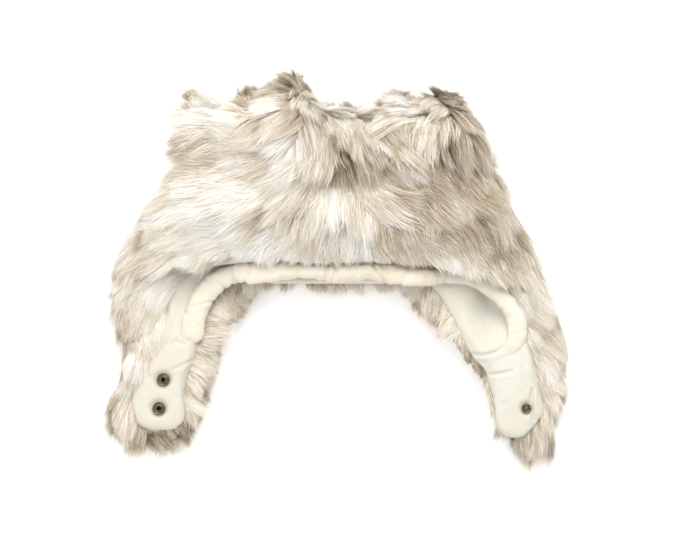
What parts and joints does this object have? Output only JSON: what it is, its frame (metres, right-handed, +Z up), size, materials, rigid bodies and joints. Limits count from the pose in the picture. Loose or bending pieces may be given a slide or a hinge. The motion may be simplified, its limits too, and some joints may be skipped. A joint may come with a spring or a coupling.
{
  "type": "trapper_hat",
  "caption": "Faux-fur trapper hat lying on its back, ear flaps spread with their padded lining up, ring-snap sockets on one flap and a snap stud on the other.",
  "frame": {"origin": "on the table under the middle of the hat's outline", "axes": "+Z up off the table through the front of the crown, +Y from the ear flaps towards the top of the crown, +X across the hat towards the flap with the stud"},
  "size_m": [0.4269, 0.3592, 0.1255],
  "materials": {
    "fur": "long-pile faux fur, cream tips over a tan and grey-brown undercoat",
    "wadding": "polyester quilt wadding",
    "lining": "cream brushed lining cloth",
    "snap_brass": "antique brass plating",
    "spring_steel": "spring wire"
  },
  "bodies": {
    "crown": {"crown_front_fur": "fur", "crown_front_wadding": "wadding", "crown_front_lining": "lining", "crown_back_fur": "fur", "crown_back_wadding": "wadding", "crown_back_lining": "lining", "crown_top_fur": "fur", "crown_top_wadding": "wadding", "crown_top_lining": "lining", "forehead_roll_cover": "lining", "forehead_roll_filling": "wadding"},
    "left_flap": {"left_flap_fur": "fur", "left_flap_wadding": "wadding", "left_flap_lining": "lining", "left_upper_socket": "snap_brass", "left_upper_spring": "spring_steel", "left_upper_prong_ring": "snap_brass", "left_lower_socket": "snap_brass", "left_lower_spring": "spring_steel", "left_lower_prong_ring": "snap_brass"},
    "right_flap": {"right_flap_fur": "fur", "right_flap_wadding": "wadding", "right_flap_lining": "lining", "right_stud": "snap_brass", "right_prong_ring": "snap_brass"}
  },
  "joints": [
    {"name": "left_flap_fold", "type": "hinge", "parent": "crown", "child": "left_flap", "pos_m": [-0.15123, -0.012, 0.0255], "axis": [-1, 0, 0], "range_deg": [0, 90]},
    {"name": "right_flap_fold", "type": "hinge", "parent": "crown", "child": "right_flap", "pos_m": [0.13632, -0.012, 0.0255], "axis": [-1, 0, 0], "range_deg": [0, 90]}
  ]
}
